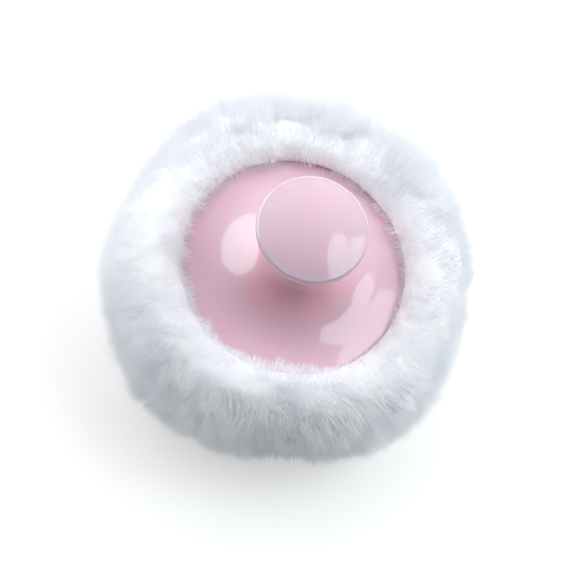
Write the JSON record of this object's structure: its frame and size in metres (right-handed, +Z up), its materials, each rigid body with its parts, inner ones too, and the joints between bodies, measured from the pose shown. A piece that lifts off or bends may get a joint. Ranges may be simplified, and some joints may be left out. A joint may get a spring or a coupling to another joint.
{
  "type": "powder puff",
  "caption": "Round powder puff: a gloss plastic handle with a flared flange, narrow waist and low domed knob, set in a thick white pile puff that is pressed on skin to spread powder.",
  "frame": {"origin": "centre of the flat patch of pile that the puff rests on", "axes": "+Z up along the handle's axis, from the pile to the knob; X and Y lie in the rest plane"},
  "size_m": [0.0798, 0.0804, 0.0535],
  "materials": {
    "handle_pink": "gloss",
    "cap_pink": "gloss",
    "plate_plastic": "satin",
    "screw_steel": "satin",
    "pile_fabric": "matte",
    "hem_elastic": "matte",
    "fill_fibre": "matte"
  },
  "bodies": {
    "root": {"handle_body": "handle_pink", "knob_cap": "cap_pink", "retaining_plate": "plate_plastic", "plate_screw": "screw_steel", "plush_cover": "pile_fabric", "hem_elastic": "hem_elastic", "fill_pad": "fill_fibre"}
  },
  "joints": []
}
